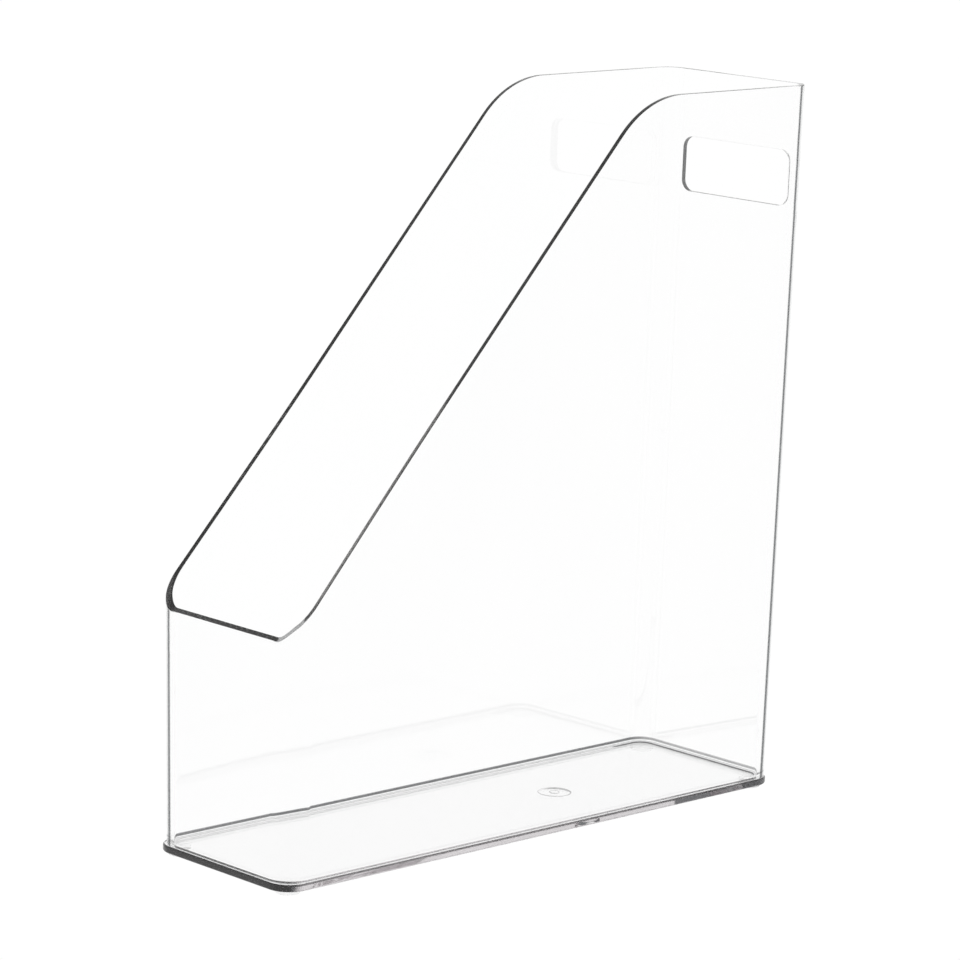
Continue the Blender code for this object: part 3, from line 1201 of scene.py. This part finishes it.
@dataclass
class HolePatch:
    """The finger hole with its eased edges, and the wall around it out to a rectangle of grid points.

    Attributes:
        sleeve: The sleeve whose back wall the hole goes through.
        arc_steps: Steps round half of each corner.
        wide_steps: Steps along the hole's straight top and bottom.
        high_steps: Steps along its straight ends.
        ring_share: How far from the window to the hole's edge the ring between them lies.
    """

    sleeve: Sleeve
    arc_steps: int = 6
    wide_steps: int = 6
    high_steps: int = 3
    ring_share: float = 0.6

    def __post_init__(self) -> None:
        """Takes the hole's sizes from the sleeve."""
        self.half_width = self.sleeve.hole_width / 2
        self.half_height = self.sleeve.hole_height / 2

    def side(self, half_length: float, depth: float, steps: int) -> tuple[np.ndarray, np.ndarray]:
        """One side of the hole, from the middle of one corner to the middle of the next.

        Args:
            half_length: Half the hole's size along the side.
            depth: From the hole's middle to the side.
            steps: Steps along the straight part.

        Returns:
            Points as (along, out) from the hole's middle, and their unit normals. The last point is left out.
        """
        radius = self.sleeve.hole_radius
        straight = half_length - radius
        turns = np.linspace(-QUARTER / 2, 0.0, self.arc_steps + 1)
        normals = np.column_stack([np.sin(turns), np.cos(turns)])
        first = np.array([-straight, depth - radius]) + radius * normals
        run = np.linspace(-straight, straight, steps + 1)[1:-1]
        middle = np.column_stack([run, np.full(len(run), depth)])
        last = first[::-1] * [-1, 1]
        points = np.concatenate([first, middle, last])
        level = np.tile([0.0, 1.0], (len(run), 1))
        all_normals = np.concatenate([normals, level, normals[::-1] * [-1, 1]])
        return points[:-1], all_normals[:-1]

    def outline(self) -> tuple[np.ndarray, np.ndarray]:
        """The hole's outline as (x, z) from its middle, with normals: bottom, left, top and right sides.

        Returns:
            The points, and the normals.
        """
        points, normals = [], []
        sides = [
            ((-1, 0), (0, -1), self.half_width, self.half_height, self.wide_steps),
            ((0, 1), (-1, 0), self.half_height, self.half_width, self.high_steps),
            ((1, 0), (0, 1), self.half_width, self.half_height, self.wide_steps),
            ((0, -1), (1, 0), self.half_height, self.half_width, self.high_steps),
        ]
        for along, out, half_length, depth, steps in sides:
            axes = np.array([along, out], dtype=float)
            place, normal = self.side(half_length, depth, steps)
            points.append(place @ axes)
            normals.append(normal @ axes)
        return np.concatenate(points), np.concatenate(normals)

    def spread(self, half_length: float, depth: float, steps: int) -> np.ndarray:
        """The window's grid lines along one side: the side's own spacing, widened to the margin.

        Args:
            half_length: Half the hole's size along the side.
            depth: From the hole's middle to the side.
            steps: Steps along the straight part.

        Returns:
            The lines' places along the side.
        """
        place = self.side(half_length, depth, steps)[0][:, 0]
        reach = half_length + self.sleeve.hole_margin
        return np.append(place, -place[0]) * reach / -place[0]

    def columns(self) -> np.ndarray:
        """X of the window's columns, from right to left."""
        return -self.spread(self.half_width, self.half_height, self.wide_steps)

    def rows(self) -> np.ndarray:
        """Z of the window's rows from the hole's middle, from the bottom up."""
        return self.spread(self.half_height, self.half_width, self.high_steps)

    def loop(self, rows: tuple[int, int], columns: tuple[int, int], width: int) -> np.ndarray:
        """Numbers of the grid points round the window, in the outline's order.

        Args:
            rows: The window's bottom and top rows.
            columns: Its right and left columns.
            width: Points in a row of the grid.

        Returns:
            The point numbers.
        """
        (bottom, top), (right, left) = rows, columns
        up = 1 if top > bottom else -1
        across, rising = np.arange(right, left), np.arange(bottom, top, up)
        return np.concatenate([
            bottom * width + across,
            rising * width + left,
            top * width + left - (across - right),
            (top + bottom - rising) * width + right,
        ])

    def surface(self, outer: np.ndarray, inner: np.ndarray) -> tuple[np.ndarray, np.ndarray]:
        """The patch as a grid: round the hole by outer window, two eased edges and inner window.

        The wall's two faces are planes, so a point's Y is the window's own Y carried along the draft.

        Args:
            outer: The outer face's points round the window.
            inner: The inner face's points round the window.

        Returns:
            The new points between the two windows, and quads that number the outer loop, these and the inner.
        """
        sleeve = self.sleeve
        plan, normal = self.outline()
        out = np.column_stack([normal[:, 0], np.zeros(len(normal)), normal[:, 1]])
        through = np.array([0.0, -1.0, 0.0])
        z = sleeve.hole_z + plan[:, 1]
        lean = math.tan(sleeve.back_draft)
        edges = []
        for window in (outer, inner):
            y = window[0, 1] + (z - window[0, 2]) * lean
            edges.append(np.column_stack([plan[:, 0], y, z]))
        slant = out + np.column_stack([np.zeros(len(z)), normal[:, 1] * lean, np.zeros(len(z))])
        mouth = eased(edges[0], slant, through, sleeve.hole_ease, sleeve.edge_steps)
        exit_edge = eased(edges[1], -through, slant, sleeve.hole_ease, sleeve.edge_steps)
        share = np.array([self.ring_share])
        before, behind = between(outer, mouth[0], share), between(exit_edge[-1], inner, 1 - share)
        new = np.concatenate([before, mouth, exit_edge, behind])
        faces = grid_faces(len(new) + 2, len(plan), close_rows=False)
        return new.reshape(-1, 3), faces


@dataclass
class Bumper:
    """A round stick-on bumper: flat on top, with a rounded side and a slightly crowned underside.

    Attributes:
        node: The CAD node that it stands for.
        edge_radius: Radius between its side and its underside.
        crown: How far the underside's middle stands lower than its edge.
        round_steps: Steps round the bumper.
        profile_steps: Steps along each part of its profile.
        top_steps: Steps from its top's edge to the middle.
    """

    node: str
    edge_radius: float = 0.0006
    crown: float = 0.00015
    round_steps: int = 64
    profile_steps: int = 8
    top_steps: int = 4

    def profile(self, radius: float, height: float) -> np.ndarray:
        """Half section as (distance from the axis, height), from the underside's middle to the top's.

        The underside is a shallow parabola of the crown, the edge a quarter circle, and the top's edge a
        smaller one.

        Args:
            radius: The bumper's radius.
            height: Its height.

        Returns:
            The half section's points.
        """
        flat = np.linspace(0.0, radius - self.edge_radius, self.profile_steps + 1)[1:]
        under = np.column_stack([flat, self.crown * (flat / flat[-1]) ** 2])
        turns = np.linspace(-QUARTER, 0.0, self.profile_steps + 1)[1:]
        edge = np.column_stack([
            radius - self.edge_radius + self.edge_radius * np.cos(turns),
            self.crown + self.edge_radius * (1 + np.sin(turns)),
        ])
        lip = self.crown
        turns = np.linspace(0.0, QUARTER, self.profile_steps + 1)
        top = np.column_stack([radius - lip + lip * np.cos(turns), height - lip + lip * np.sin(turns)])
        inwards = np.linspace(radius - lip, 0.0, self.top_steps + 1)[1:-1]
        inner = np.column_stack([inwards, np.full(len(inwards), height)])
        return np.concatenate([under, edge, top, inner])

    def build(self, finish: bpy.types.Material) -> bpy.types.Object:
        """Builds the bumper: its profile turned about its axis, closed by a pole at each end.

        Args:
            finish: The bumper's material.

        Returns:
            The piece.
        """
        low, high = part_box(self.node)
        middle = (low + high) / 2
        profile = self.profile((high.x - low.x) / 2, high.z - low.z)
        turn = np.linspace(0.0, 4 * QUARTER, self.round_steps, endpoint=False)
        x = middle.x + profile[:, :1] * np.cos(turn)
        y = middle.y + profile[:, :1] * np.sin(turn)
        z = np.broadcast_to(low.z + profile[:, 1:], x.shape)
        rings = np.stack([x, y, z], axis=-1)
        points, faces = capped(rings, (middle.x, middle.y, low.z), (middle.x, middle.y, high.z))
        name = self.node.replace("foot", "bumper")
        return settle(piece(name, points, faces, finish), self.node)


@dataclass
class Studio:
    """The table, the room's light and the camera.

    Attributes:
        azimuth: Where the camera stands, turned from -Y towards +X.
        elevation: How far it looks down.
        roll: How far it is turned about its own axis.
        distance: From the aim to the camera.
        aim_height: Height of the aim above the base plate's underside.
        aim_right: How far the aim lies to the right of the rack's middle.
        lens: Focal length in millimetres.
        sensor: Width of the camera's sensor in millimetres.
        table_radius: Radius of the pale table.
        table_steps: Steps round its edge.
        table_drop: How far the table lies under the bumpers.
        table_glow: Brightness of the table.
        room: Brightness of the room above the table.
        room_back: Brightness of the room low down, at the table's edge.
        dimming: Heights in the room between which it dims, as the upward part of a direction.
        bounces: How often light may turn inside the plastic, which carries it far along the walls.
    """

    azimuth: float = math.radians(46.7127)
    elevation: float = math.radians(11.2888)
    roll: float = math.radians(-1.7412)
    distance: float = 1.764728
    aim_height: float = 0.1415635
    aim_right: float = -0.0019668
    lens: float = 161.86
    sensor: float = 36.0
    table_radius: float = 14.0
    table_steps: int = 96
    table_drop: float = 0.0001
    table_glow: float = 1.01
    room: float = 0.70
    room_back: float = 1.0
    dimming: tuple[float, float] = (0.25, 0.7)
    bounces: int = 128

    def camera(self, plate: BasePlate) -> bpy.types.Object:
        """Makes the camera: back from its aim along the view direction, and rolled about it.

        Args:
            plate: The base plate, which the aim is measured from.

        Returns:
            The camera.
        """
        a, e = self.azimuth, self.elevation
        back = Vector((math.sin(a) * math.cos(e), -math.cos(a) * math.cos(e), math.sin(e)))
        right = Vector((math.cos(a), math.sin(a), 0.0))
        up = back.cross(right)
        middle = Vector((0.0, (plate.front + plate.back) / 2, plate.bottom + self.aim_height))
        place = middle + right * self.aim_right + back * self.distance
        turned_right = right * math.cos(self.roll) - up * math.sin(self.roll)
        turned_up = right * math.sin(self.roll) + up * math.cos(self.roll)
        axes = Matrix((turned_right, turned_up, back)).transposed().to_4x4()
        data = bpy.data.cameras.new("camera")
        data.lens = self.lens
        data.sensor_width = self.sensor
        made = placed("camera", data)
        made.matrix_world = Matrix.Translation(place) @ axes
        bpy.context.scene.camera = made
        return made

    def table(self) -> bpy.types.Object:
        """Makes the pale, evenly lit table: a disc.

        Returns:
            The table.
        """
        turn = np.linspace(0.0, 4 * QUARTER, self.table_steps, endpoint=False)
        rim = self.table_radius * np.column_stack([np.cos(turn), np.sin(turn)])
        mesh = bpy.data.meshes.new("table")
        mesh.from_pydata(at_height(rim, -self.table_drop).tolist(), [], [list(range(len(turn)))])
        finish, bench = blank("pale_table")
        sockets = {"Color": (1.0, 1.0, 1.0, 1.0), "Strength": self.table_glow}
        glow = bench.add("ShaderNodeEmission", {}, sockets)
        bench.add("ShaderNodeOutputMaterial", {}, {"Surface": glow.outputs[0]})
        mesh.materials.append(finish)
        made = placed("table", mesh)
        return made

    def room_light(self) -> bpy.types.World:
        """Makes the room's soft light: bright low down, falling off to a dim ceiling.

        Returns:
            The world.
        """
        world = bpy.data.worlds.new("room")
        world.use_nodes = True
        bench = Bench(world.node_tree)
        direction = bench.add("ShaderNodeTexCoord").outputs["Generated"]
        dimmed = bench.part(direction, "Z").ramp(*self.dimming)
        glow = dimmed * (self.room - self.room_back) + self.room_back
        lit = bench.add("ShaderNodeBackground", {}, {"Color": (1.0, 1.0, 1.0, 1.0), "Strength": glow})
        bench.add("ShaderNodeOutputWorld", {}, {"Surface": lit.outputs[0]})
        bpy.context.scene.world = world
        return world

    def build(self, plate: BasePlate) -> None:
        """Sets up the table, the light, the camera and a plain view of their brightness.

        Args:
            plate: The base plate, which the camera's aim is measured from.
        """
        self.camera(plate)
        self.table()
        self.room_light()
        scene = bpy.context.scene
        scene.view_settings.view_transform = "Standard"
        scene.cycles.max_bounces = self.bounces
        scene.cycles.glossy_bounces = self.bounces
        scene.cycles.transmission_bounces = self.bounces
        log.info("camera, table and room are set")


def main() -> None:
    """Builds the rack's pieces in order, then the studio."""
    logging.basicConfig(level=logging.INFO, format="%(name)s: %(message)s")
    wall_finish = MouldedPlastic(
        "clear_moulded_wall",
        tint_low=(0.994, 0.995, 0.995, 1.0),
        tint_high=(0.999, 0.999, 0.999, 1.0),
        body=(0.10, 0.09, 0.08, 1.0),
        density=3.0,
        # Depths of the painted shade on corners, bond line, rim's bend, hole ends and level rim.
        turned=1.0,
        seam_shade=1.0,
        bend=0.9,
        hole=1.0,
        level=0.45,
    ).material()
    plate_finish = MouldedPlastic(
        "clear_moulded_plate",
        tint_low=(0.957, 0.958, 0.958, 1.0),
        tint_high=(0.966, 0.966, 0.966, 1.0),
        body=(0.16, 0.08, 0.12, 1.0),
        density=5.0,
        # Depths of the painted shade on the plate's top rounding, front end and sides by the back end.
        lip=0.8,
        front_end_shade=1.0,
        back_end_shade=1.0,
        flow_stretch=(1.0, 0.35, 1.0),
    ).material()
    bumper_finish = SoftPlastic("clear_soft_bumper").material()

    plate = BasePlate()
    plate.build(plate_finish)
    Sleeve(plate).build(wall_finish)
    for node in ("foot_front_left", "foot_front_right", "foot_back_left", "foot_back_right"):
        Bumper(node).build(bumper_finish)
    Studio().build(plate)


if __name__ == "__main__":
    main()
